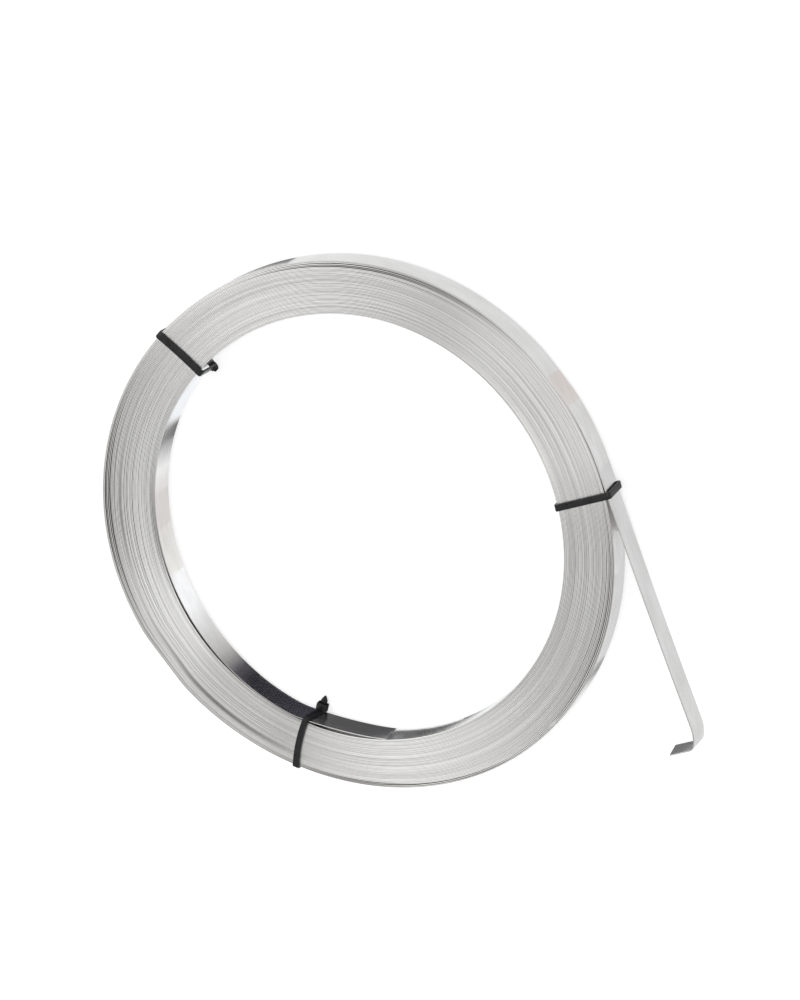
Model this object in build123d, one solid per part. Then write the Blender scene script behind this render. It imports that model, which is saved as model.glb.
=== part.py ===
"""A small coil of slit steel strip, held by three black nylon cable ties.

Units are millimetres. +Z is up, along the coil's own axis, and the coil lies flat.
The origin is on that axis, at the level of the ties' undersides, which it rests on.
Angles are in degrees, anticlockwise from +X as seen from above.
"""
from build123d import *
from math import cos, degrees, radians, sin, tan
import os

# The steel strip and how it is wound
strip_width = 13.0
strip_thickness = 0.5
turn_count = 44
turn_gap = 0.0386
bore_radius = 96.3
slit_edge_round = 0.1

# The strip's outer end: a straight tail that leaves the coil on a tangent, then an easy bend
# and a sharp bend that together hook it back at a right angle
tail_angle = 251.0
tail_straight = 120.3
tail_bite = 0.1
easy_bend_radius = 16.0
easy_bend_sweep = 28.0
sharp_bend_radius = 3.0
hook_length = 9.0

# The strip's inner end: a short stretch that has sprung straight across the bore wall
loose_start_angle = 123.5
loose_end_angle = 148.0

# The cable ties
tie_width = 3.0
tie_thickness = 1.0
tie_corner_round = 1.2
tie_clearance = 0.05
head_width = 4.9
head_depth = 4.0
head_height = 3.4
head_round = 0.6
stub_point = 2.0
stub_tip_width = 0.8
stub_rise = 0.8

# Each tie: its angle at the middle of the winding, how far it is slewed off the radius and leans
# off the vertical there, how far its strap stands off the steel in the bore, and how much of the
# strap's cut end shows past its head
tie_places = {
    "cable_tie_1": {"angle": 8.0, "slew": 5.0, "lean": 3.5, "slack": 1.0, "stub": 0.8},
    "cable_tie_2": {"angle": 126.3, "slew": 6.5, "lean": 7.5, "slack": 0.1, "stub": 3.5},
    "cable_tie_3": {"angle": 244.3, "slew": 6.0, "lean": 3.5, "slack": 0.3, "stub": 0.8},
}

pitch = strip_thickness + turn_gap
outer_radius = bore_radius + turn_count * pitch
middle_radius = (bore_radius + outer_radius) / 2
strip_level = tie_thickness + tie_clearance + strip_width / 2


def winding_outline():
    """The winding's section: one flat for each turn, with a notch between turns on both ends."""
    edge = []
    for turn in range(turn_count):
        inner_face = bore_radius + turn * pitch
        outer_face = inner_face + pitch
        edge += [(inner_face, -slit_edge_round), (inner_face + slit_edge_round, 0)]
        edge += [(outer_face - slit_edge_round, 0)]
    edge += [(outer_radius, -slit_edge_round)]
    half = strip_width / 2
    top = [(radius, half + height) for radius, height in edge]
    bottom = [(radius, -half - height) for radius, height in reversed(edge)]
    return top + bottom


def winding():
    """All the turns, as one turned ring round the bore."""
    section = make_face(Polyline(*winding_outline(), close=True))
    return Pos(0, 0, strip_level) * revolve(Plane.XZ * section, axis=Axis.Z)


def tail():
    """The outer end of the strip. Local x runs along it from the tangent point, y points outward."""
    left_to_turn = 90 - easy_bend_sweep
    step = easy_bend_radius - sharp_bend_radius
    easy = Vector(tail_straight, -easy_bend_radius)
    sharp = easy + Vector(step, 0).rotate(Axis.Z, left_to_turn)
    hook_face = sharp.X + sharp_bend_radius
    hook_back = hook_face - strip_thickness
    hook_end = sharp.Y - hook_length
    outside = [
        Line((0, 0), (tail_straight, 0)),
        CenterArc(easy, easy_bend_radius, 90, -easy_bend_sweep),
        CenterArc(sharp, sharp_bend_radius, left_to_turn, -left_to_turn),
    ]
    hook = Polyline((hook_face, sharp.Y), (hook_face, hook_end), (hook_back, hook_end), (hook_back, sharp.Y))
    inside = [
        CenterArc(sharp, sharp_bend_radius - strip_thickness, 0, left_to_turn),
        CenterArc(easy, easy_bend_radius - strip_thickness, left_to_turn, easy_bend_sweep),
        Polyline((tail_straight, -strip_thickness), (0, -strip_thickness), (0, 0)),
    ]
    outline = make_face(Curve() + outside + [hook] + inside)
    band = extrude(outline, amount=strip_width / 2, both=True)
    tangent_point = Rot(0, 0, tail_angle) * Pos(outer_radius - tail_bite, 0, strip_level)
    return tangent_point * Rot(0, 0, -90) * band


def loose_chord():
    """Half length of the loose inner end, and its middle's distance from the coil's axis."""
    half_sweep = radians(loose_end_angle - loose_start_angle) / 2
    return bore_radius * sin(half_sweep), bore_radius * cos(half_sweep)


def loose_end():
    """The inner end of the strip, a flat stretch whose ends both run into the bore wall."""
    half_length, distance = loose_chord()
    middle = (loose_start_angle + loose_end_angle) / 2
    plate = Box(strip_thickness, 2 * half_length, strip_width)
    return Rot(0, 0, middle) * Pos(distance, 0, strip_level) * plate


def strip_coil():
    """The whole strip, wound and with both of its ends, is one piece of steel."""
    return winding() + tail() + loose_end()


def tie_edges(place):
    """The angles that a tie's strap covers, with the widest of its slewed and leaning corners."""
    reach = (outer_radius - bore_radius) / 2 + tie_thickness
    drift = strip_level * tan(radians(place["lean"]))
    spread = reach * sin(radians(place["slew"])) + drift + tie_width / 2
    half_sweep = degrees(spread / bore_radius)
    return place["angle"] - half_sweep, place["angle"] + half_sweep


def steel_in_bore(place):
    """The radius of the innermost steel behind a tie: the bore wall, or the loose end."""
    distance = loose_chord()[1]
    middle = (loose_start_angle + loose_end_angle) / 2
    first, last = tie_edges(place)
    if last < loose_start_angle or first > loose_end_angle:
        return bore_radius
    nearest = max(first - middle, middle - last, 0)
    return (distance - strip_thickness / 2) / cos(radians(nearest))


def steel_outside(place):
    """The radius of the outermost steel behind a tie: the winding, or the tail where it leaves."""
    first = tie_edges(place)[0]
    if tail_angle - 90 < first < tail_angle:
        return outer_radius / cos(radians(tail_angle - first))
    return outer_radius


def strap_face(place):
    """The radius of a tie's face toward the steel, in the bore."""
    return steel_in_bore(place) - tie_clearance - place["slack"]


def tie_frame(place):
    """A frame at the middle of the winding's section, x outward along the strap and y across it."""
    middle = Pos(middle_radius, 0, strip_level)
    return Rot(0, 0, place["angle"]) * middle * Rot(0, 0, place["slew"]) * Rot(place["lean"], 0, 0)


def strap(place):
    """The part of a tie that goes round the winding, following its curved walls."""
    inner = strap_face(place)
    outer = steel_outside(place) + tie_clearance
    depth = outer - inner
    height = strip_width + 2 * tie_clearance
    centre = Pos((inner + outer) / 2, 0)
    skin = RectangleRounded(depth + 2 * tie_thickness, height + 2 * tie_thickness, tie_corner_round)
    hollow = Rectangle(depth, height)
    ring = revolve(Plane.XZ * (centre * skin - centre * hollow), axis=Axis.Z)
    slab = Box(depth + 4 * tie_thickness, tie_width, 2 * strip_width)
    return (Pos(0, 0, strip_level) * ring) & (tie_frame(place) * slab)


def foot_frame(place):
    """A frame on the floor where a tie's strap comes down in the bore, x pointing outward."""
    foot = tie_frame(place) * Pos(strap_face(place) - middle_radius, 0, -strip_level)
    return Pos(foot.position.X, foot.position.Y, 0) * Rot(0, 0, place["angle"])


def head(place):
    """The lock at the foot of the strap in the bore, kept inside the steel behind it."""
    block = fillet(Box(head_depth, head_width, head_height).edges().filter_by(Axis.X), head_round)
    block = foot_frame(place) * Pos(-head_depth / 2, 0, head_height / 2) * block
    return block & Cylinder(strap_face(place), 4 * head_height)


def stub(place):
    """The strap's cut end: it comes out of the head toward the coil's axis, and tapers."""
    half = tie_width / 2
    tip = -head_depth - place["stub"]
    shoulder = tip + stub_point
    root = -head_depth / 2
    outline = Polyline((root, half), (shoulder, half), (tip, stub_tip_width / 2), (tip, -stub_tip_width / 2),
                       (shoulder, -half), (root, -half), close=True)
    return foot_frame(place) * Pos(0, 0, stub_rise) * extrude(make_face(outline), amount=tie_thickness)


def cable_tie(place):
    """One tie, moulded in one piece: strap, head and cut end."""
    return strap(place) + head(place) + stub(place)


os.makedirs("parts", exist_ok=True)
export_step(strip_coil(), "parts/strip_coil.step")
for name, place in tie_places.items():
    export_step(cable_tie(place), f"parts/{name}.step")
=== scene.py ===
# %% [markdown]
# A small coil of slit steel strip, dressed for a photograph
#
# The real thing is a single strip of bright steel, 13 mm wide, half a millimetre thick and about
# thirty metres long. It is wound into a ring and held by three black nylon cable ties. This notebook
# gives the plain solids their looks. It runs from top to bottom: the camera, the strip, the steel
# finishes, the ties, the nylon, then the floor, the light and the cards that the steel mirrors.

# %% The frame and the tools
import math

import bmesh
import bpy
import numpy as np
from mathutils import Matrix, Quaternion, Vector


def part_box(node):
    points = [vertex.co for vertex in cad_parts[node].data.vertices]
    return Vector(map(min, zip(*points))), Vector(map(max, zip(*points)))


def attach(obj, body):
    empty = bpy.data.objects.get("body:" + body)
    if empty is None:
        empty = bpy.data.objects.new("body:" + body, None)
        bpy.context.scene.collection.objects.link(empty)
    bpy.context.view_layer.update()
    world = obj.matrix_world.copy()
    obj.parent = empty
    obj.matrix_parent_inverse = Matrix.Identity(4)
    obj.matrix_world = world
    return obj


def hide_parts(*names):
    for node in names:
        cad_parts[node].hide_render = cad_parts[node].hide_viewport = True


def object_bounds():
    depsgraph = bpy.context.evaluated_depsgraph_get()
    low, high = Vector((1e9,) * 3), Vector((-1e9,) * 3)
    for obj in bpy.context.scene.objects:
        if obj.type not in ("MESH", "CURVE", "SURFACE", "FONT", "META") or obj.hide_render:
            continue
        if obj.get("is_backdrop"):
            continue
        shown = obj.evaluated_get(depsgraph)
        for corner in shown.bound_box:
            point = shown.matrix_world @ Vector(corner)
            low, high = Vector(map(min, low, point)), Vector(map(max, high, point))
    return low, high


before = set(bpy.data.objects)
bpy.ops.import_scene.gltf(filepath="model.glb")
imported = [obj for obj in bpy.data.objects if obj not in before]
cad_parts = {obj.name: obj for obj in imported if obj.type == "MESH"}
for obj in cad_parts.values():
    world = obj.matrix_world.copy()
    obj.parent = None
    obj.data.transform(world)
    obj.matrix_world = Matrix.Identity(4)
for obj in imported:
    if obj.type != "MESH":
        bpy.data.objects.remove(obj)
cad_low, cad_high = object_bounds()
scene = bpy.context.scene
mm = 0.001
print("solids:", sorted(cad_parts), "box in mm:", [round(side / mm, 1) for side in cad_high - cad_low])

# %% [markdown]
# The camera
#
# A photograph is matched camera first, because everything else is judged through it. The coil lies
# flat, and the camera looks down on it steeply from the side where the tail is. The photographer had
# the picture turned: the camera is rolled about its own line of sight, so that the tail hangs down
# to the right. Three numbers say all of that: the place, the line of sight and the roll.

# %% The camera
camera_place = Vector((0.0, -0.8227, 1.3791))
line_of_sight = Vector((-0.0011, 0.5031, -0.8642))
camera_roll = math.radians(-127.05)
focal_length = 133.2

camera_data = bpy.data.cameras.new("camera")
camera_data.lens = focal_length
camera_data.sensor_width = 36.0
camera_data.clip_start = 0.01
camera = bpy.data.objects.new("camera", camera_data)
scene.collection.objects.link(camera)
camera.rotation_mode = "QUATERNION"
camera.location = camera_place
camera.rotation_quaternion = line_of_sight.to_track_quat("-Z", "Y") @ Quaternion((0, 0, 1), camera_roll)
scene.camera = camera
print("camera distance in mm:", round(camera_place.length / mm))

# %% [markdown]
# The winding's outline
#
# A coil wound by hand is never quite round. The outside of this one is a little oval and a little
# three-cornered, and its bore sits slightly off centre. A sum of a few slow waves round the ring
# says that better than a list of points, and it stays smooth, which matters on metal that mirrors.
# Angles run anticlockwise from +X, seen from above.

# %% How far out the winding begins and ends
strip_low, strip_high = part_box("strip_coil")
strip_width = strip_high.z - strip_low.z
strip_level = (strip_high.z + strip_low.z) / 2
strip_thickness = 0.5 * mm
bore_radius = 96.3 * mm
outer_radius = 120.0 * mm
side_margin = 0.42 * mm
eased_over = 0.15 * mm


def wave(angle, size, lobes, lead):
    """A wave round the ring: its height in metres, how many lobes it has, and where it starts."""
    return size * np.cos(np.radians(lobes * angle - lead))


def bore_wall(angle):
    """The bore's radius at each angle."""
    off_centre = wave(angle, 0.945 * mm, 1, 251)
    return bore_radius + off_centre + wave(angle, 0.22 * mm, 2, 34) + wave(angle, 0.15 * mm, 4, 153)


def outer_wall(angle):
    """The winding's outer radius at each angle, kept inside the solid's box on the +Y side."""
    free = outer_radius + wave(angle, 0.99 * mm, 2, 98) + wave(angle, 0.84 * mm, 3, 192)
    across = np.maximum(np.abs(np.sin(np.radians(angle))), 0.5)
    room = (cad_high.y - side_margin) / across
    return np.minimum(free, room) - eased_over * np.log1p(np.exp(-np.abs(free - room) / eased_over))


round_the_ring = np.arange(0.0, 360.0, 2.0)
print("outer radius in mm:", round(outer_wall(round_the_ring).min() / mm, 2),
      "to", round(outer_wall(round_the_ring).max() / mm, 2))

# %% [markdown]
# The turns
#
# The ring is one strip, so it is modelled as one strip: a spiral of 43.7 turns that starts in the
# bore and ends where the tail leaves. Going outward along the strip the angle falls, because it was
# wound clockwise. Every station of the spiral lies right outside the station one turn earlier, a
# strip's thickness and a gap further out. Most gaps are a few hundredths of a millimetre. Where the
# ring bulges, the slack has collected between a few turns, and those gaps show as dark lines.

# %% Where the strip starts and ends
step_angle = 2.0
steps_per_turn = round(360 / step_angle)
inner_end_angle = 148.0
tail_leaves_angle = 250.0
whole_turns = 44
winding_steps = round((360 * whole_turns + inner_end_angle - tail_leaves_angle) / step_angle)
progress = np.arange(winding_steps + 1) * step_angle
ring_angle = inner_end_angle - progress
pass_number = progress / 360
print("turns:", round(float(pass_number[-1]), 2))

# %% Slow random drift along the strip
dice = np.random.RandomState(12)


def drift(every, low=-1.0, high=1.0):
    """A smooth random course along the strip, with a fresh value every so many degrees."""
    knots = np.arange(-every, progress[-1] + 2 * every, every)
    return np.interp(progress, knots, dice.uniform(low, high, len(knots)))


def bump(value, middle, half_width):
    """One at the middle, fading to nothing half a width away on both sides."""
    near = np.clip(1 - np.abs(value - middle) / half_width, 0, 1)
    return near * near * (3 - 2 * near)


def turned_to(angle, middle):
    """Each angle, brought to within half a turn of a middle."""
    return middle + (angle - middle + 180) % 360 - 180


# %% Slack that collected between some turns
# Each row: the turn that the gap is under, counted from the bore, the middle of the gap's stretch
# and half its length in degrees, and how wide the gap is there
slack_places = [
    (1, 84, 34, 0.85 * mm),
    (1, 121, 22, 0.10 * mm),
    (34, 98, 52, 0.15 * mm),
    (35, 92, 44, 0.13 * mm),
    (33, 108, 34, 0.13 * mm),
    (27, 70, 40, 0.10 * mm),
    (20, 55, 36, 0.10 * mm),
    (39, 62, 58, 0.40 * mm),
    (40, 58, 40, 0.22 * mm),
    (42, 60, 46, 0.36 * mm),
    (41, 152, 30, 0.24 * mm),
    (42, 168, 30, 0.20 * mm),
    (40, 214, 44, 0.22 * mm),
    (41, 206, 40, 0.26 * mm),
    (37, 222, 30, 0.14 * mm),
    (34, 205, 26, 0.12 * mm),
    (40, 318, 40, 0.20 * mm),
    (41, 308, 38, 0.24 * mm),
    (42, 312, 44, 0.22 * mm),
    (37, 301, 22, 0.14 * mm),
    (43, 254, 16, 0.20 * mm),
]
collected = np.zeros(len(progress))
for turn, middle, half_length, width in slack_places:
    near_turn = np.abs(pass_number - turn - 0.5) <= 0.5
    collected += width * near_turn * bump(turned_to(ring_angle, middle), middle, half_length)
print("largest gap in mm:", round(collected.max() / mm, 2))

# %% [markdown]
# Sharing out the room
#
# At every angle the bore wall and the outer wall leave a fixed room. The steel takes most of it, the
# collected slack takes its share, and what is left over is spread over all the turns. Where a turn
# starts depends on the gaps, and the gaps on where it starts, so a few rounds let the two settle.

# %% The spiral's inner face
least_gap = 0.008 * mm
usual_gap = 0.04 * mm
slack_share = 0.85
settling_rounds = 4
avoid_zero = 1e-9
even_share = drift(40, 0.65, 1.0)
first_turn = progress < 360
column = np.arange(len(progress)) % steps_per_turn
passes = np.bincount(column)


def column_sum(values):
    """The values under each other at the same angle, added up, leaving out the first turn."""
    return np.bincount(column, np.where(first_turn, 0, values))


def spiral(inner_step, outer_step):
    """The inner face's radius at every station, and how wide the gap under each one is."""
    start = bore_wall(ring_angle) + inner_step * (progress / 360 - 0.5)
    last = outer_wall(ring_angle) + outer_step * ((progress - progress[-1]) / 360 + 0.5)
    first_face = start[:steps_per_turn]
    last_face = last[-steps_per_turn:][np.argsort(column[-steps_per_turn:])]
    room = last_face - first_face - passes * strip_thickness - (passes - 1) * least_gap
    wanted = column_sum(collected)
    given = np.minimum(1, slack_share * room / np.maximum(wanted, avoid_zero))
    even = (room - given * wanted) / column_sum(even_share)
    gap = least_gap + given[column] * collected + even[column] * even_share
    radius = start.copy()
    for station in range(steps_per_turn, len(progress)):
        radius[station] = radius[station - steps_per_turn] + strip_thickness + gap[station]
    return radius, gap


inner_step = outer_step = strip_thickness + usual_gap
for settling in range(settling_rounds):
    inner_face, gap_under = spiral(inner_step, outer_step)
    inner_step = strip_thickness + gap_under[steps_per_turn]
    outer_step = strip_thickness + gap_under[-1]
print("gaps in mm:", round(gap_under[steps_per_turn:].min() / mm, 3),
      "to", round(gap_under.max() / mm, 3))

# %% [markdown]
# The loose inner end
#
# The first bit of strip, in the bore, isn't held by anything but the tie beside it. It has sprung
# off the wall by a little over a millimetre and only its very tip touches again. A half wave added
# to the first turn makes it.
#
# The turns don't end level either. Each rises and sinks by about a tenth of a millimetre, except
# where a tie holds them flat, and on one side of the ring the last ten turns have slipped down.

# %% The loose end and the turns' heights
loose_length = 27.0
loose_gap = 1.28 * mm
on_loose_end = progress < loose_length
inner_face[on_loose_end] -= loose_gap * np.sin(np.pi * progress[on_loose_end] / loose_length)

tie_angles = (8.0, 126.3, 244.3)
held_length = 16.0
held_flat = np.ones(len(progress))
for tie_angle in tie_angles:
    held_flat *= 1 - bump(turned_to(ring_angle, tie_angle), tie_angle, held_length)

slipped_from, slipped_within = 33.2, 0.8
slipped_middle, slipped_half_length = 98, 62
slipped_by = 0.42 * mm
slipped = np.clip((pass_number - slipped_from) / slipped_within, 0, 1)
slipped = slipped * bump(turned_to(ring_angle, slipped_middle), slipped_middle, slipped_half_length)

ripple, sway = 0.10 * mm, 0.12 * mm
height = held_flat * (drift(55) * ripple + drift(190) * sway) - slipped_by * slipped
print("turns' heights in mm:", round(height.min() / mm, 2), "to", round(height.max() / mm, 2))

# %% [markdown]
# The tail
#
# The outer end of the strip leaves the ring on a tangent, as straight as spring steel lies when
# nothing holds it, and ends in a hook: an easy bend, a sharp one, and a short flat that was cut off
# on a slant. The spiral and the tail are one line, so the tail is simply more stations.

# %% Stations along the winding
centre_line = inner_face + strip_thickness / 2
turn_radians = np.radians(ring_angle)
stations = [Vector((r * math.cos(a), r * math.sin(a))) for r, a in zip(centre_line, turn_radians)]
levels = list(strip_level + height)

# %% Stations along the tail
tail_straight = 117.85 * mm
tail_bow = 0.5 * mm
easy_bend_radius = 16.0 * mm
easy_bend_sweep = math.radians(28)
sharp_bend_radius = 3.0 * mm
hook_length = 9.0 * mm
hook_cut_slant = 2.2 * mm


def bend(start, heading, radius, sweep, steps):
    """Points along an arc that turns to the right, and the heading at its end."""
    centre = start + radius * Vector((math.sin(heading), -math.cos(heading)))
    points = []
    for step in range(1, steps + 1):
        turned = heading - sweep * step / steps
        points.append(centre - radius * Vector((math.sin(turned), -math.cos(turned))))
    return points, heading - sweep


def run(start, heading, length, steps):
    """Points along a straight that starts at a point."""
    along = Vector((math.cos(heading), math.sin(heading)))
    return [start + along * length * step / steps for step in range(1, steps + 1)]


tail_heading = math.radians(160.9)
straight = run(stations[-1], tail_heading, tail_straight, steps=26)
inward = Vector((math.sin(tail_heading), -math.cos(tail_heading)))
for step, point in enumerate(straight):
    point += inward * tail_bow * math.sin(math.pi * (step + 1) / len(straight))
easy, easy_heading = bend(straight[-1], tail_heading, easy_bend_radius, easy_bend_sweep, steps=8)
hook_sweep = math.radians(90) - easy_bend_sweep
sharp, hook_heading = bend(easy[-1], easy_heading, sharp_bend_radius, hook_sweep, steps=10)
hook = run(sharp[-1], hook_heading, hook_length, steps=8)
tail = straight + easy + sharp + hook
stations += tail
levels += [levels[-1]] * len(tail)
print("tail heading in degrees:", round(math.degrees(tail_heading), 1), "stations in all:", len(stations))

# %% [markdown]
# Winding the bar
#
# The mesh is made the way a mill makes it. A long flat bar is cut to thickness and width, its four
# long corners get the small chamfer that slitting leaves, and it is divided along its length. Then
# every cross-section is carried to its station. The bar's own length coordinate counts stations, so
# there is no guessing which vertex goes where. Dividing it in two rounds is much quicker than one.

# %% A straight bar, one length unit for each station
slit_chamfer = 0.12 * mm
spans = len(stations) - 1
first_cuts = next(n for n in range(90, 1, -1) if spans % n == 0)


def lengthwise(bm):
    """The edges that run along the bar."""
    return [e for e in bm.edges if abs(e.verts[0].co.y - e.verts[1].co.y) > 0.5]


bar = bmesh.new()
shape = Matrix.Diagonal((strip_thickness, spans, strip_width, 1)) @ Matrix.Translation((0, 0.5, 0))
bmesh.ops.create_cube(bar, size=1.0, matrix=shape)
bmesh.ops.bevel(bar, geom=lengthwise(bar), offset=slit_chamfer, offset_type="OFFSET",
                affect="EDGES", segments=1, profile=0.5, material=-1)
bmesh.ops.subdivide_edges(bar, edges=lengthwise(bar), cuts=first_cuts - 1, use_grid_fill=True)
bmesh.ops.subdivide_edges(bar, edges=lengthwise(bar), cuts=spans // first_cuts - 1, use_grid_fill=True)
print("bar:", len(bar.verts), "vertices,", spans, "spans, first cut into", first_cuts)

# %% [markdown]
# Painted shade between the turns
#
# A near-black is painted into the fine notches between the turns, as the shade that falls down in
# them, more on some stretches than on others, and that painted shade is what draws the turns as dark
# lines. The mesh carries it as a number for every vertex down in a notch. A few listed rows say where
# there is more or less of it than usual.

# %% How much painted shade each stretch's notches hold
def changed(course, places):
    """A course along the strip, raised or lowered over some of the turns and part of the ring."""
    for turn, turns_wide, middle, half_length, change in places:
        around = bump(turned_to(ring_angle, middle), middle, half_length)
        course = course + change * around * bump(pass_number, turn, turns_wide)
    return course


# Each row: a turn counted from the bore, how many turns away the change has faded out, the middle
# of its stretch and half its length in degrees, and how much more or less there is
usual_notch_shade = 0.85
notch_shade_places = [
    (16, 9, 60, 45, -0.35),
    (37, 8, 50, 50, 0.15),
    (20, 40, 150, 24, -0.15),
    (20, 40, 188, 28, -0.30),
    (22, 60, 225, 28, 0.15),
    (22, 50, 266, 30, -0.55),
]
notch_shade_amount = np.clip(changed(np.full(len(progress), usual_notch_shade), notch_shade_places), 0, 1)
print("grime:", round(float(notch_shade_amount.min()), 2), "to", round(float(notch_shade_amount.max()), 2))


# %% Carrying every cross-section to its station
def heading_at(index):
    """The direction of the strip at a station, from the stations before and after it."""
    before, after = stations[max(index - 1, 0)], stations[min(index + 1, spans)]
    return (after - before).normalized()


headings = [heading_at(index) for index in range(spans + 1)]
walked = [0.0]
for index in range(spans):
    walked.append(walked[-1] + (stations[index + 1] - stations[index]).length)

station_layer = bar.verts.layers.int.new("station")
notch_shade_layer = bar.verts.layers.float.new("shade_in_notch")
for vertex in bar.verts:
    index = round(vertex.co.y)
    vertex[station_layer] = index
    in_groove = abs(vertex.co.z) < strip_width / 2 - slit_chamfer / 2
    # Painted shade: a vertex down in a notch takes its stretch's amount of painted shade
    vertex[notch_shade_layer] = float(notch_shade_amount[min(index, winding_steps)]) if in_groove else 0.0
    heading = headings[index]
    to_the_right = Vector((heading.y, -heading.x))
    place = stations[index] + to_the_right * vertex.co.x
    along_hook = max(0.0, 1 - (spans - index) / len(hook))
    place += heading * hook_cut_slant * along_hook * (0.5 - vertex.co.z / strip_width)
    vertex.co = (place.x, place.y, levels[index] + vertex.co.z)
print("strip length in metres:", round(walked[-1], 2))
print("steel volume in cubic cm:", round(bar.calc_volume() * 1e6, 1))

# %% [markdown]
# What the finish needs to know
#
# The steel's finish follows the strip, not the ring: rolling lines run along it, and each turn took
# the slitting knives a little differently. So the mesh carries a UV map in metres, the length along
# the strip and the way across it, and a tone for each station, partly the knives' own and partly
# painted shade and painted highlight. The narrow faces get a second material slot. Their normals
# are smoothed across, as the edge is slightly rounded, but the two wide faces stay flat up to their
# corners.

# %% How light or dark each stretch of a turn is
# The rows say the same as those of the painted notch shade, with a change of tone at the end. The
# slow drift under them is the knives' own tone. The darker bands over a few turns are painted shade
# where turns sit lower than their neighbours, and the rows over all the turns are painted highlight
# and painted shade where the slit edges' sheen falls brighter or duller round the ring.
tone_and_shade_places = [
    (14, 17, 38, 36, 0.9),
    (5, 4, 80, 20, 0.7),
    (22, 60, 284, 16, 0.6),
    (22, 60, 246, 26, -0.7),
    (22, 60, 266, 22, -0.9),
    (22, 60, 122, 12, -0.5),
    (22, 60, 332, 30, -0.5),
    (1.5, 4.5, 56, 24, -1.9),
    (9.5, 2.0, 100, 22, -1.2),
    (0.8, 1.6, 95, 34, -2.0),
    (1.2, 2.5, 122, 16, -1.4),
    (30.3, 2.0, 56, 24, -2.3),
    (33.5, 1.2, 42, 24, 1.0),
    (36.8, 1.0, 45, 26, 1.0),
    (31.7, 2.0, 82, 22, -1.5),
    (33.6, 2.8, 104, 30, -3.6),
    (35.3, 0.9, 42, 26, -1.6),
    (38.7, 1.1, 57, 32, -2.8),
    (41.2, 1.3, 54, 40, -2.2),
    (41.3, 1.2, 85, 18, -1.4),
    (41.8, 2.4, 138, 26, -2.6),
    (42.5, 2.0, 168, 16, -1.4),
    (43.3, 1.2, 88, 30, -1.6),
    (43.3, 1.2, 130, 42, -1.6),
    (32.5, 1.0, 205, 16, -0.7),
    (36.0, 1.0, 214, 30, -1.0),
    (39.7, 1.8, 215, 44, -1.6),
    (41.8, 1.6, 225, 24, -1.0),
    (43.3, 1.2, 222, 26, -2.0),
    (30.3, 1.0, 302, 30, -0.7),
    (35.7, 1.0, 300, 18, -1.0),
    (40.3, 2.0, 316, 40, -1.8),
    (42.0, 1.5, 296, 24, -1.3),
    (43.2, 1.2, 316, 50, -1.6),
    (43.8, 0.5, 250, 30, -1.6),
]
tone_swing = 0.7
turn_tone_and_shade = changed(tone_swing * drift(40), tone_and_shade_places)
print("turn tones:", round(float(turn_tone_and_shade.min()), 2), "to", round(float(turn_tone_and_shade.max()), 2))

# %% The strip's UV map, tone with its painted shade, and sharp corners
edge_faces_slot = 1
uv_layer = bar.loops.layers.uv.new("along_strip")
tone_and_shade_layer = bar.verts.layers.float.new("turn_tone_and_shade")
for vertex in bar.verts:
    vertex[tone_and_shade_layer] = float(turn_tone_and_shade[min(vertex[station_layer], winding_steps)])
bar.normal_update()
for face in bar.faces:
    level = levels[face.verts[0][station_layer]]
    narrow = abs(face.calc_center_median().z - level) > strip_width / 2 - 1.5 * slit_chamfer
    face.material_index = edge_faces_slot if narrow else 0
    face.smooth = len(face.verts) == 4
    for loop in face.loops:
        loop[uv_layer].uv = (walked[loop.vert[station_layer]], loop.vert.co.z - level)
for edge in bar.edges:
    slots = {face.material_index for face in edge.link_faces}
    edge.smooth = len(slots) == 1 and all(face.smooth for face in edge.link_faces)

strip_mesh = bpy.data.meshes.new("wound_strip")
bar.to_mesh(strip_mesh)
bar.free()
wound_strip = bpy.data.objects.new("wound_strip", strip_mesh)
scene.collection.objects.link(wound_strip)
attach(wound_strip, "root")
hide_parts("strip_coil")
print("strip triangles:", sum(len(p.vertices) - 2 for p in strip_mesh.polygons))

# %% [markdown]
# Building a finish
#
# A finish here is a small tree of nodes. Three helpers keep each tree short: one starts a material
# with its shader, one adds a node with its settings, and one wires two sockets together.

# %% Helpers for node trees
def new_finish(name):
    """A material with an empty tree, its shader and its output."""
    material = bpy.data.materials.new(name)
    material.use_nodes = True
    tree = material.node_tree
    tree.nodes.clear()
    shader = tree.nodes.new("ShaderNodeBsdfPrincipled")
    output = tree.nodes.new("ShaderNodeOutputMaterial")
    tree.links.new(shader.outputs["BSDF"], output.inputs["Surface"])
    return material, tree, shader


def add(tree, kind, inputs=(), **settings):
    """A node with some of its settings and unlinked inputs filled in."""
    node = tree.nodes.new(kind)
    for name, value in settings.items():
        setattr(node, name, value)
    for name, value in dict(inputs).items():
        node.inputs[name].default_value = value
    return node


def wire(tree, source, target):
    """Links an output socket to an input socket."""
    tree.links.new(source, target)


def stretched_noise(tree, coordinates, along, across, detail=3.0):
    """Noise with so many cells a metre along the strip and across it."""
    stretch = add(tree, "ShaderNodeMapping", {"Scale": (along, across, 1.0)})
    noise = add(tree, "ShaderNodeTexNoise", {"Scale": 1.0, "Detail": detail, "Roughness": 0.55})
    wire(tree, coordinates, stretch.inputs["Vector"])
    wire(tree, stretch.outputs["Vector"], noise.inputs["Vector"])
    return noise.outputs["Fac"]


def between(tree, factor, low, high):
    """A value that runs from low to high as the factor runs over the noise's usual span."""
    span = add(tree, "ShaderNodeMapRange", {"From Min": 0.3, "From Max": 0.7, "To Min": low, "To Max": high})
    wire(tree, factor, span.inputs["Value"])
    return span.outputs["Result"]


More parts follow.
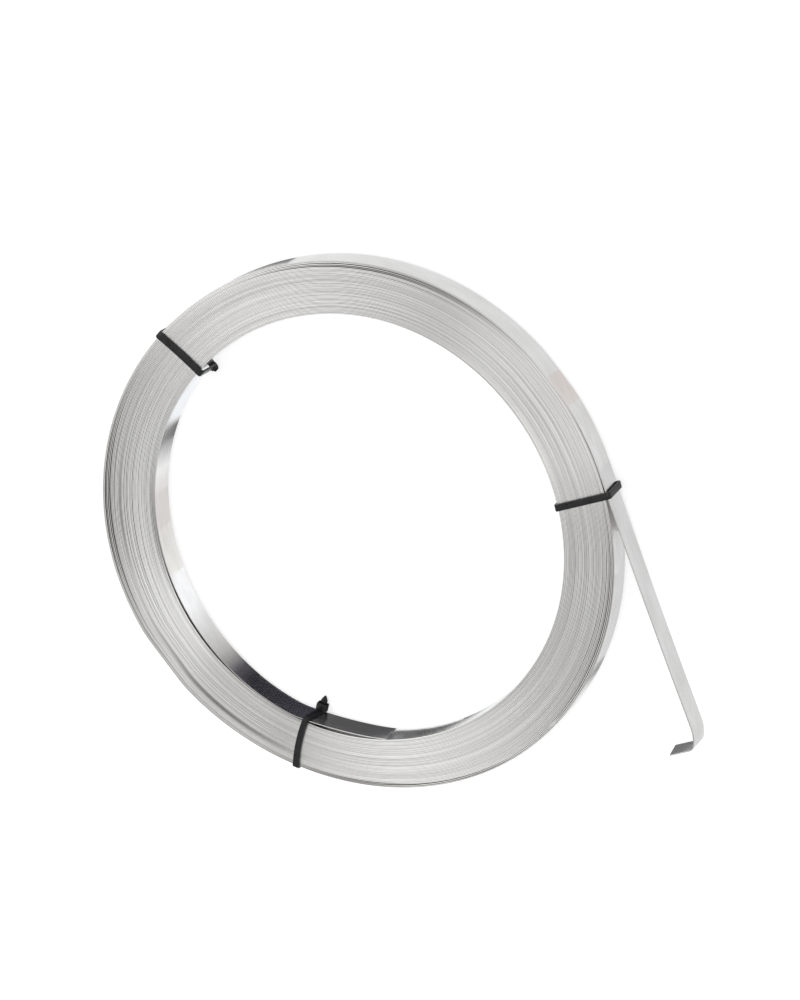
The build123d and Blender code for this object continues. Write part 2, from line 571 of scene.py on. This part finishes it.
def two_tones(tree, factor, dark, light):
    """A colour between two tones."""
    mix = add(tree, "ShaderNodeMix", data_type="RGBA")
    mix.inputs["A"].default_value = (*dark, 1.0)
    mix.inputs["B"].default_value = (*light, 1.0)
    wire(tree, factor, mix.inputs["Factor"])
    return mix.outputs["Result"]


def bumped(tree, shader, height_source, strength, distance):
    """Gives a shader a bump from a height."""
    node = add(tree, "ShaderNodeBump", {"Strength": strength, "Distance": distance})
    wire(tree, height_source, node.inputs["Height"])
    wire(tree, node.outputs["Normal"], shader.inputs["Normal"])


# %% [markdown]
# Bright rolled steel
#
# The wide faces came off polished rolls, so they mirror softly. Up close they have hair lines along
# the strip and a faint cloudiness from oil and handling. Both are noise stretched along the strip:
# long thin cells for the lines, round ones for the clouds.

# %% The finish of the wide faces
bright_steel, tree, shader = new_finish("bright_rolled_steel")
shader.inputs["Metallic"].default_value = 1.0
uv = add(tree, "ShaderNodeUVMap", uv_map="along_strip").outputs["UV"]
clouds = stretched_noise(tree, uv, along=45.0, across=90.0, detail=4.0)
hair_lines = stretched_noise(tree, uv, along=25.0, across=5200.0, detail=2.0)
wire(tree, two_tones(tree, between(tree, clouds, 0, 1), (0.74, 0.735, 0.725), (0.86, 0.86, 0.86)),
     shader.inputs["Base Color"])
wire(tree, between(tree, hair_lines, 0.16, 0.26), shader.inputs["Roughness"])
bumped(tree, shader, hair_lines, strength=0.12, distance=0.02 * mm)
strip_mesh.materials.append(bright_steel)
print("wide faces:", bright_steel.name)

# %% [markdown]
# Slit edges
#
# The narrow faces were cut, not rolled, so they are duller: a finely torn grey with short marks
# across. Each turn's tone shifts a little along the strip, which is what lets the eye tell the
# turns apart on the ring's flat side; on some stretches the tone also carries painted shade and
# painted highlight. Down in the notches a near-black is painted in as shade between the turns.

# %% The finish of the narrow faces
slit_edge, tree, shader = new_finish("slit_edge")
shader.inputs["Metallic"].default_value = 1.0
uv = add(tree, "ShaderNodeUVMap", uv_map="along_strip").outputs["UV"]
# The turn's tone, which on some stretches carries painted shade and painted highlight
tone_and_shade = add(tree, "ShaderNodeAttribute", attribute_name="turn_tone_and_shade").outputs["Fac"]
shade = add(tree, "ShaderNodeMapRange", {"From Min": -3.0, "From Max": 0.8})
wire(tree, tone_and_shade, shade.inputs["Value"])
cut_face_tone_and_shade = two_tones(tree, shade.outputs["Result"], (0.27, 0.255, 0.24), (0.88, 0.875, 0.865))
shade_in_notch = add(tree, "ShaderNodeAttribute", attribute_name="shade_in_notch").outputs["Fac"]
# Painted shade: the near-black mixed in down in the notches between the turns
notch_shading = add(tree, "ShaderNodeMix", data_type="RGBA")
wire(tree, shade_in_notch, notch_shading.inputs["Factor"])
wire(tree, cut_face_tone_and_shade, notch_shading.inputs["A"])
notch_shading.inputs["B"].default_value = (0.045, 0.043, 0.040, 1.0)
wire(tree, notch_shading.outputs["Result"], shader.inputs["Base Color"])
torn = stretched_noise(tree, uv, along=2600.0, across=900.0, detail=3.0)
wire(tree, between(tree, torn, 0.26, 0.42), shader.inputs["Roughness"])
bumped(tree, shader, torn, strength=0.15, distance=0.02 * mm)
strip_mesh.materials.append(slit_edge)
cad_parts["strip_coil"].data.materials.clear()
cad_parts["strip_coil"].data.materials.append(bright_steel)
print("steel finishes:", [material.name for material in strip_mesh.materials])

# %% [markdown]
# Where the ties grip
#
# Each tie closes round all the turns at one place. It isn't quite radial and it leans, as ties do
# when they are pulled tight by hand. To know how far in and out the strap must reach, the strip is
# asked: where does it cross a ray from the coil's axis? The nearest and farthest crossings are the
# steel that the strap lies on.

# %% The three ties' places
# Angle is round the ring, slew off the radius and lean off the upright, in degrees. Slack is how far
# the strap stands off the bore wall, stub is what shows of the cut end, bow is how far the strap
# swings sideways over the turns, and breadth is its width as a share of the usual one. A head is its
# depth, width and height.
tie_places = [
    {"name": "cable_tie_1", "angle": 8.8, "slew": 3.5, "lean": 3.5, "slack": 0.9 * mm, "stub": 0.0,
     "bow": 0.3 * mm, "breadth": 1.1, "head": (1.8 * mm, 2.9 * mm, 2.9 * mm)},
    {"name": "cable_tie_2", "angle": 125.65, "slew": 0.8, "lean": 7.5, "slack": 0.05 * mm, "stub": 3.5 * mm,
     "bow": 0.9 * mm, "breadth": 0.94, "head": (4.0 * mm, 4.9 * mm, 3.4 * mm)},
    {"name": "cable_tie_3", "angle": 244.1, "slew": 5.5, "lean": 3.5, "slack": 0.25 * mm, "stub": 0.8 * mm,
     "bow": 0.0, "breadth": 1.0, "head": (4.0 * mm, 4.9 * mm, 3.4 * mm)},
]
tie_width = 3.0 * mm
tie_thickness = 1.0 * mm
tie_clearance = 0.04 * mm
half_cover = 1.6


def crossings(angle):
    """The radii where the strip's centre line crosses a ray at an angle, in order."""
    ray = Vector((math.cos(math.radians(angle)), math.sin(math.radians(angle))))
    sides = [ray.x * point.y - ray.y * point.x for point in stations]
    found = []
    for index in range(spans):
        here, there = sides[index], sides[index + 1]
        if here * there <= 0 and here != there and ray.dot(stations[index]) > 0:
            share = here / (here - there)
            found.append(ray.dot(stations[index].lerp(stations[index + 1], share)))
    return sorted(found)


def grip(place):
    """How near and how far the steel is, over the angles that the strap covers."""
    reach = [crossings(place["angle"] + side) for side in (-half_cover, 0.0, half_cover)]
    near = min(radii[0] for radii in reach) - strip_thickness / 2
    far = max(radii[-1] for radii in reach) + strip_thickness / 2
    return near - tie_clearance - place["slack"], far + tie_clearance


for place in tie_places:
    place["inside"], place["outside"] = grip(place)
    print(place["name"], "grips in mm from", round(place["inside"] / mm, 2),
          "to", round(place["outside"] / mm, 2))

# %% [markdown]
# The strap's course
#
# The strap starts in its own head, at the foot of the bore, goes up the bore wall, over the turns,
# down the outside, and back underneath through the head. What was cut off leaves a short stub. The
# course is seven corners, most of them a radius and a height in the tie's own leaning plane, and
# those between its ends are rounded by a short curve.

# %% From corners to a rounded course
top_of_turns = strip_high.z + tie_clearance
stub_rise = 1.3 * mm
corner_reach = 1.1 * mm
slot_entry = 0.6


def tie_axes(place):
    """The tie's middle, the direction along it, and the direction across it, all level."""
    angle = math.radians(place["angle"])
    slewed = angle + math.radians(place["slew"])
    middle_radius = (place["inside"] + place["outside"]) / 2
    middle = Vector((math.cos(angle), math.sin(angle), 0)) * middle_radius
    along = Vector((math.cos(slewed), math.sin(slewed), 0))
    return middle, along, Vector((-along.y, along.x, 0))


def on_tie(place, radius, level):
    """The point in the tie's leaning plane with a given radius and height."""
    middle, along, across = tie_axes(place)
    lean = (level - strip_level) * math.tan(math.radians(place["lean"]))
    start = middle - across * lean
    forward = start.dot(along)
    distance = math.sqrt(forward ** 2 - start.length_squared + radius ** 2) - forward
    point = start + along * distance
    return Vector((point.x, point.y, level))


def strap_corners(place):
    """The corners of the strap's centre line, from its root in the head to the stub's tip."""
    inside = place["inside"] - tie_thickness / 2
    outside = place["outside"] + tie_thickness / 2
    under = tie_thickness / 2
    over = top_of_turns + tie_thickness / 2
    foot = on_tie(place, inside, under)
    angle = math.radians(place["angle"])
    out = Vector((math.cos(angle), math.sin(angle), 0))
    rise = Vector((0, 0, stub_rise - under))
    head_depth, _, head_height = place["head"]
    return [on_tie(place, inside, head_height / 2), on_tie(place, inside, over), on_tie(place, outside, over),
            on_tie(place, outside, under), foot, foot - out * head_depth * slot_entry + rise,
            foot - out * (head_depth + place["stub"] - tie_thickness / 2) + rise]


def rounded_course(corners, reach, steps=7, spacing=0.5 * mm):
    """Points along the straights between corners, with each corner replaced by a smooth curve."""
    points = [corners[0]]
    for index in range(1, len(corners)):
        last = index == len(corners) - 1
        before, corner = corners[index - 1], corners[index]
        come = (corner - before).normalized()
        end = corner if last else corner - come * reach
        start = points[-1]
        count = max(1, round((end - start).length / spacing))
        points += [start.lerp(end, step / count) for step in range(1, count + 1)]
        if not last:
            go = (corners[index + 1] - corner).normalized()
            leave = corner + go * reach
            for step in range(1, steps + 1):
                share = step / steps
                points.append(end.lerp(corner, share).lerp(corner.lerp(leave, share), share))
    return points


def bowed(place, points):
    """The same points, with the run over the turns bowed sideways."""
    across = tie_axes(place)[2]
    for point in points:
        if point.z > top_of_turns:
            share = (point.xy.length - place["inside"]) / (place["outside"] - place["inside"])
            point -= across * place["bow"] * max(0.0, 4 * share * (1 - share))
    return points


courses = {}
for place in tie_places:
    courses[place["name"]] = bowed(place, rounded_course(strap_corners(place), corner_reach))
print("strap stations:", {name: len(course) for name, course in courses.items()})

# %% [markdown]
# The strap
#
# The strap is made as the steel was: a straight bar, one unit of length for each station, carried
# to its course. Along the side that faces the turns it has a shallow channel with small teeth for
# the head's pawl to catch. The cut end is drawn in to a blunt point.

# %% A strap bar with a toothed channel
channel_width = 1.8 * mm
tooth_depth = 0.22 * mm
between_teeth = 0.35
near_enough = 0.01 * mm
strap_rounding = 0.22 * mm
stub_point = 2.0 * mm
stub_tip_width = 0.8 * mm
stub_tip_share = stub_tip_width / tie_width


def strap_bar(count):
    """A straight strap with rounded edges, a channel along its inner face, and a row of stations."""
    bm = bmesh.new()
    shape = Matrix.Diagonal((tie_thickness, count, tie_width, 1)) @ Matrix.Translation((0, 0.5, 0))
    bmesh.ops.create_cube(bm, size=1.0, matrix=shape)
    bmesh.ops.bevel(bm, geom=lengthwise(bm), offset=strap_rounding, offset_type="OFFSET",
                    affect="EDGES", segments=3, profile=0.5, material=-1)
    inner = min(bm.faces, key=lambda face: face.calc_center_median().x)
    bmesh.ops.inset_region(bm, faces=[inner], thickness=(tie_width - channel_width) / 2 - strap_rounding)
    for vertex in inner.verts:
        vertex.co.y = 0.0 if vertex.co.y < count / 2 else float(count)
    bmesh.ops.dissolve_degenerate(bm, dist=1e-9, edges=bm.edges)
    bmesh.ops.subdivide_edges(bm, edges=lengthwise(bm), cuts=count - 1, use_grid_fill=True)
    return bm


# %% Carrying the strap to its course
def carry_strap(bm, place, course):
    """Carries each row of the straight strap to its point on the course, and draws in the cut end."""
    across = tie_axes(place)[2]
    count = len(course) - 1
    ahead = [0.0]
    for index in range(count, 0, -1):
        ahead.insert(0, ahead[0] + (course[index] - course[index - 1]).length)
    for vertex in bm.verts:
        index = round(vertex.co.y)
        heading = (course[min(index + 1, count)] - course[max(index - 1, 0)]).normalized()
        radial = Vector((course[index].x, course[index].y, 0)).normalized()
        on_wall = abs(heading.z)
        side = across.lerp(Vector((-radial.y, radial.x, 0)), on_wall)
        side = (side - heading * side.dot(heading)).normalized()
        outward = heading.cross(side)
        drawn_in = min(1.0, stub_tip_share + (1 - stub_tip_share) * ahead[index] / stub_point)
        thinned = (1 + drawn_in) / 2
        in_channel = abs(vertex.co.z) < channel_width / 2 + near_enough and vertex.co.x < 0
        lift = tooth_depth * (1.0 if index % 2 else between_teeth) if in_channel else 0.0
        vertex.co = (course[index] + outward * (vertex.co.x + lift) * thinned
                     + side * vertex.co.z * drawn_in * place["breadth"])


# %% [markdown]
# The head
#
# The head is a small moulded block with soft corners. The strap's own foot grows out of its top,
# and the free end leaves through a slot in the face toward the coil's axis. The slot is that face,
# inset and pushed back. Block and strap share one mesh, because they come out of one mould.

# %% A head with its slot
head_rounding = 0.45 * mm
slot_rim = 0.42 * mm
slot_depth = 0.9 * mm


def add_head(bm, place):
    """Adds the head at the strap's foot, turned to face the coil's axis."""
    strap_verts = set(bm.verts)
    head_depth, head_width, head_height = place["head"]
    shape = Matrix.Diagonal((head_depth, head_width, head_height, 1))
    made = bmesh.ops.create_cube(bm, size=1.0, matrix=shape)["verts"]
    edges = {edge for vertex in made for edge in vertex.link_edges}
    bmesh.ops.bevel(bm, geom=list(edges), offset=head_rounding, offset_type="OFFSET",
                    affect="EDGES", segments=3, profile=0.5, material=-1)
    block = [face for face in bm.faces if face.verts[0] not in strap_verts]
    mouth = min(block, key=lambda face: face.calc_center_median().x)
    bmesh.ops.inset_region(bm, faces=[mouth], thickness=slot_rim)
    bmesh.ops.inset_region(bm, faces=[mouth], thickness=slot_rim / 10, depth=-slot_depth)
    angle = math.radians(place["angle"])
    out = Vector((math.cos(angle), math.sin(angle), 0))
    middle = on_tie(place, place["inside"], head_height / 2) - out * head_depth / 2
    turn = Matrix.Translation(middle) @ Matrix.Rotation(angle, 4, "Z")
    bmesh.ops.transform(bm, matrix=turn, verts=[vertex for vertex in bm.verts if vertex not in strap_verts])


# %% [markdown]
# Black nylon
#
# Cable ties are moulded in nylon: near black, with a soft sheen and a barely grained skin. Fine
# noise in the bump and a slow one in the roughness keep it from looking like wet paint.

# %% The nylon
black_nylon, tree, shader = new_finish("black_moulded_nylon")
shader.inputs["Specular IOR Level"].default_value = 0.24
place_on_object = add(tree, "ShaderNodeTexCoord").outputs["Object"]
grain = stretched_noise(tree, place_on_object, along=9000.0, across=9000.0, detail=2.0)
smears = stretched_noise(tree, place_on_object, along=260.0, across=260.0, detail=2.0)
wire(tree, two_tones(tree, between(tree, smears, 0, 1), (0.008, 0.008, 0.009), (0.016, 0.016, 0.017)),
     shader.inputs["Base Color"])
wire(tree, between(tree, smears, 0.24, 0.38), shader.inputs["Roughness"])
bumped(tree, shader, grain, strength=0.25, distance=0.01 * mm)
print("ties' finish:", black_nylon.name)


# %% The three ties
sharp_from = math.radians(32)


def make_tie(place):
    """One tie: the strap on its course and the head at its foot, as one mesh."""
    course = courses[place["name"]]
    bm = strap_bar(len(course) - 1)
    carry_strap(bm, place, course)
    add_head(bm, place)
    bmesh.ops.recalc_face_normals(bm, faces=bm.faces)
    for face in bm.faces:
        face.smooth = True
    for edge in bm.edges:
        edge.smooth = edge.calc_face_angle(0.0) < sharp_from
    mesh = bpy.data.meshes.new(place["name"] + "_nylon")
    bm.to_mesh(mesh)
    bm.free()
    mesh.materials.append(black_nylon)
    tie = bpy.data.objects.new(place["name"] + "_nylon", mesh)
    scene.collection.objects.link(tie)
    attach(tie, "root")
    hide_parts(place["name"])
    return tie


ties = [make_tie(place) for place in tie_places]
for place in tie_places:
    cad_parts[place["name"]].data.materials.clear()
    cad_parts[place["name"]].data.materials.append(black_nylon)
for tie in ties:
    print(tie.name, "triangles:", sum(len(p.vertices) - 2 for p in tie.data.polygons))

# %% [markdown]
# The floor
#
# The floor is plain and white, and it keeps the object's own soft shadow. Part of its white is a
# faint glow of its own, so it needs no more light than the steel can take.

# %% A white floor
floor_size = 12.0
floor_drop = 0.05 * mm
floor_white, tree, shader = new_finish("floor_white")
shader.inputs["Base Color"].default_value = (0.55, 0.55, 0.55, 1.0)
shader.inputs["Emission Color"].default_value = (1.0, 1.0, 1.0, 1.0)
shader.inputs["Emission Strength"].default_value = 0.56
shader.inputs["Roughness"].default_value = 1.0
shader.inputs["Specular IOR Level"].default_value = 0.0
bm = bmesh.new()
bmesh.ops.create_grid(bm, x_segments=1, y_segments=1, size=floor_size / 2,
                      matrix=Matrix.Translation((0, 0, -floor_drop)))
floor_mesh = bpy.data.meshes.new("floor")
bm.to_mesh(floor_mesh)
bm.free()
floor_mesh.materials.append(floor_white)
floor = bpy.data.objects.new("floor", floor_mesh)
scene.collection.objects.link(floor)
floor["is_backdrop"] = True
print("floor:", floor_size, "metres wide")

# %% [markdown]
# Light
#
# The sky is a pale dome, brightest overhead and darker toward the rim, so that each slit edge has a
# light side and a dark side. Two soft lamps stand where a turn's rounded edge throws them back to
# the camera, on two opposite pairs of stretches of the ring.

# %% The sky
world = bpy.data.worlds.new("pale_dome")
scene.world = world
world.use_nodes = True
tree = world.node_tree
tree.nodes.clear()
brightness = {"From Min": 0.0, "From Max": 0.9, "To Min": 0.45, "To Max": 0.89}
rim_to_top = add(tree, "ShaderNodeMapRange", brightness)
split = add(tree, "ShaderNodeSeparateXYZ")
background = add(tree, "ShaderNodeBackground")
wire(tree, add(tree, "ShaderNodeTexCoord").outputs["Generated"], split.inputs["Vector"])
wire(tree, split.outputs["Z"], rim_to_top.inputs["Value"])
wire(tree, rim_to_top.outputs["Result"], background.inputs["Color"])
wire(tree, background.outputs["Background"], add(tree, "ShaderNodeOutputWorld").inputs["Surface"])
print("sky:", world.name)


# %% The lamps
def soft_lamp(name, toward, distance, size, power):
    """A square soft lamp in a direction from the coil, aimed back at it."""
    data = bpy.data.lights.new(name, "AREA")
    data.size = size
    data.energy = power
    lamp = bpy.data.objects.new(name, data)
    scene.collection.objects.link(lamp)
    lamp.location = Vector(toward).normalized() * distance
    lamp.rotation_mode = "QUATERNION"
    lamp.rotation_quaternion = Vector(toward).to_track_quat("Z", "Y")
    print(name + ":", power, "watts,", size, "metres wide")


soft_lamp("lamp_overhead", (-0.15, -0.35, 0.925), distance=1.8, size=0.7, power=5.6)
soft_lamp("lamp_beside", (0.6, 0.285, 0.747), distance=1.8, size=1.1, power=7.6)

# %% [markdown]
# Cards beside the coil
#
# Polished steel looks like whatever lies next to it. The bore wall and the outside of the ring throw
# back a narrow ring of floor right at their foot, so cards are laid there: dark ones paint the dark
# stretches of reflection on the walls, bright ones keep the rest clean. Each card is a flat piece of
# a ring that glows with a tone of its own, some brighter than white, and shows only in reflections,
# so what the walls show of it is a painted reflection. Its tone is even, or runs from one end to the
# other. Every card lies a hair above the one before it, so where two overlap the later one shows.

# %% How a card is laid
lowest_card = 0.10 * mm
card_step = 0.004 * mm
cards_laid = []


def mirrored_from(foot, normal_angle, share=1.0):
    """Where on the floor an upright wall's rim mirrors the camera's sight, or part of the way there."""
    normal = Vector((math.cos(math.radians(normal_angle)), math.sin(math.radians(normal_angle)), 0))
    sight = (Vector((foot.x, foot.y, strip_high.z)) - camera_place).reflect(normal)
    return foot + share * sight.xy * strip_high.z / -sight.z


def card_mesh(name, near, far):
    """A grid two rows deep, carried to two rows of points, with a shade from one end to the other."""
    columns = len(near) - 1
    lift = lowest_card + card_step * len(cards_laid)
    bm = bmesh.new()
    shade_layer = bm.verts.layers.float.new("shade")
    bmesh.ops.create_grid(bm, x_segments=columns, y_segments=1, size=0.5)
    for vertex in bm.verts:
        column = round((vertex.co.x + 0.5) * columns)
        point = (far if vertex.co.y > 0 else near)[column]
        vertex[shade_layer] = column / columns
        vertex.co = (point.x, point.y, lift)
    mesh = bpy.data.meshes.new(name)
    bm.to_mesh(mesh)
    bm.free()
    return mesh


def lay_card(name, near, far, first_tone, last_tone):
    """A flat card between two rows of points, seen only by what mirrors it."""
    mesh = card_mesh(name, near, far)
    material = bpy.data.materials.new(name)
    material.use_nodes = True
    tree = material.node_tree
    tree.nodes.clear()
    along = add(tree, "ShaderNodeAttribute", attribute_name="shade").outputs["Fac"]
    glow = add(tree, "ShaderNodeEmission")
    wire(tree, two_tones(tree, along, first_tone, last_tone), glow.inputs["Color"])
    wire(tree, glow.outputs["Emission"], add(tree, "ShaderNodeOutputMaterial").inputs["Surface"])
    mesh.materials.append(material)
    card = bpy.data.objects.new(name, mesh)
    scene.collection.objects.link(card)
    card.visible_camera = card.visible_diffuse = card.visible_shadow = False
    card.visible_transmission = card.visible_volume_scatter = False
    card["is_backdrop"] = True
    cards_laid.append(name)


def lay_ring_card(name, wall, first, last, first_tone, last_tone, start=-0.1, reach=1.7):
    """A card for a stretch of the ring's wall, from a share of the way to the rim's mirror point."""
    steps = max(1, round(abs(last - first) / step_angle))
    near, far = [], []
    for step in range(steps + 1):
        angle = first + (last - first) * step / steps
        out = Vector((math.cos(math.radians(angle)), math.sin(math.radians(angle))))
        foot = float(wall(np.float64(angle))) * out
        near.append(mirrored_from(foot, angle, start))
        far.append(mirrored_from(foot, angle, reach))
    lay_card(name, near, far, first_tone, last_tone)


# %% Cards for the bore wall
def grey(level):
    """An even tone."""
    return (level, level, level)


blue_white, clear_white = (1.06, 1.09, 1.13), (1.13, 1.14, 1.16)
cream, sand, linen = (0.90, 0.88, 0.86), (0.82, 0.79, 0.77), (1.00, 0.99, 0.96)
ash, plum, night = (0.54, 0.53, 0.52), (0.10, 0.095, 0.11), (0.030, 0.029, 0.035)
deep_blue, dove, dusk_blue = (0.050, 0.048, 0.064), (0.20, 0.20, 0.22), (0.40, 0.40, 0.45)
# Each card paints a stretch of the bore wall's reflection, dark or bright
lay_ring_card("bore_clearing", bore_wall, 168, 180, grey(0.16), blue_white, reach=1.05)
lay_ring_card("bore_blue", bore_wall, -6, 26, blue_white, blue_white)
lay_ring_card("bore_notch_edge", bore_wall, 26, 28, grey(1.0), grey(0.40))
lay_ring_card("bore_notch", bore_wall, 28, 32.5, grey(0.22), grey(0.26))
lay_ring_card("bore_grey", bore_wall, 32.5, 40, grey(0.40), grey(0.98))
lay_ring_card("bore_pale", bore_wall, 40, 47, grey(1.04), cream)
lay_ring_card("bore_sand", bore_wall, 47, 57, sand, sand)
lay_ring_card("bore_cream", bore_wall, 57, 70, cream, linen)
lay_ring_card("bore_clear", bore_wall, 70, 80, clear_white, clear_white)
lay_ring_card("bore_fading", bore_wall, 80, 95.5, clear_white, ash)
lay_ring_card("bore_dimming", bore_wall, 95.5, 101.5, ash, plum)
lay_ring_card("bore_dark", bore_wall, 101.5, 106, plum, night, start=0.05, reach=2.0)
lay_ring_card("bore_night", bore_wall, 106, 127, night, deep_blue, start=0.1, reach=2.4)
lay_ring_card("bore_deep", bore_wall, 157, 168.5, grey(0.052), grey(0.070), start=0.17, reach=2.3)
lay_ring_card("bore_slate", bore_wall, 147, 157, grey(0.185), grey(0.085), start=0.14, reach=2.4)
lay_ring_card("bore_lilac", bore_wall, 147, 152.5, dusk_blue, dove, start=0.55, reach=1.8)
lay_ring_card("bore_dusk", bore_wall, 127, 141, grey(0.100), grey(0.100), start=0.1, reach=3.0)


# %% A card for the loose end
def right_of(index):
    """The angle that the right-hand side of the strip faces at a station."""
    heading = headings[index]
    return math.degrees(math.atan2(-heading.x, heading.y))


def card_rows(indices, side, shares):
    """The two rows of a card for a stretch of strip: how far each station's rim is mirrored."""
    return [[mirrored_from(stations[index], right_of(index) + side, share) for index in indices]
            for share in shares]


right_side, left_side = 0, 180
loose_shown_to = 128
loose_stations = range(0, round((inner_end_angle - loose_shown_to) / step_angle) + 1)
loose_tip, loose_root = (0.086, 0.085, 0.090), (0.104, 0.102, 0.104)
lay_card("loose_end_card", *card_rows(loose_stations, right_side, (0.08, 2.2)), loose_tip, loose_root)

# %% Cards for the outside of the ring
clean, soft, pale = grey(0.97), grey(0.81), (0.76, 0.76, 0.765)
umber, blush = (0.42, 0.405, 0.40), (0.78, 0.73, 0.71)
lay_ring_card("out_clean", outer_wall, 176, 198, clean, clean)
lay_ring_card("out_shading", outer_wall, 198, 203, clean, grey(0.62))
lay_ring_card("out_patch", outer_wall, 203, 207, grey(0.36), grey(0.40))
lay_ring_card("out_pale", outer_wall, 207, 228, pale, pale, reach=1.2)
lay_ring_card("out_wedge", outer_wall, 228, 236, pale, pale, reach=0.7)
lay_ring_card("out_umber", outer_wall, 236, 242, umber, umber, reach=0.6)
lay_ring_card("out_corner", outer_wall, 242, 250, umber, soft, reach=0.3)
lay_ring_card("out_soft", outer_wall, 250, 264, soft, soft)
lay_ring_card("out_blush", outer_wall, 264, 271, blush, blush)
lay_ring_card("out_long", outer_wall, 271, 347.5, soft, grey(0.92))
lay_ring_card("out_dark", outer_wall, 334, 339, grey(0.17), grey(0.20), reach=0.86)
lay_ring_card("out_dim", outer_wall, 339, 348, grey(0.20), grey(0.56), reach=0.95)
lay_ring_card("out_last", outer_wall, 348, 364, grey(0.76), grey(0.82))

# %% Cards for the tail and the hook
tail_feet = range(winding_steps, winding_steps + len(straight) + 1)
lay_card("tail_card", *card_rows(tail_feet, left_side, (0.0, 1.8)), pale, soft)
bend_feet = range(tail_feet[-1], tail_feet[-1] + len(easy) + len(sharp) + 1)
lay_card("bend_card", *card_rows(bend_feet, left_side, (0.0, 1.8)), soft, soft)
hook_feet = [hook[-1].lerp(sharp[-1], share) for share in (-1.0, 1.2)]
hook_ends = [mirrored_from(foot, right_of(spans), 2.6) for foot in hook_feet]
hook_shade = (0.185, 0.185, 0.19)
lay_card("hook_card", hook_feet, hook_ends, hook_shade, hook_shade)
print("cards laid:", len(cards_laid))

# %% The picture's tones, the sizes for comparison, and the end
scene.view_settings.view_transform = "Standard"
seen_low, seen_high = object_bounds()
margins = [*(seen_low - cad_low), *(cad_high - seen_high)]
print("inside the box by, in mm:", [round(margin / mm, 3) for margin in margins])
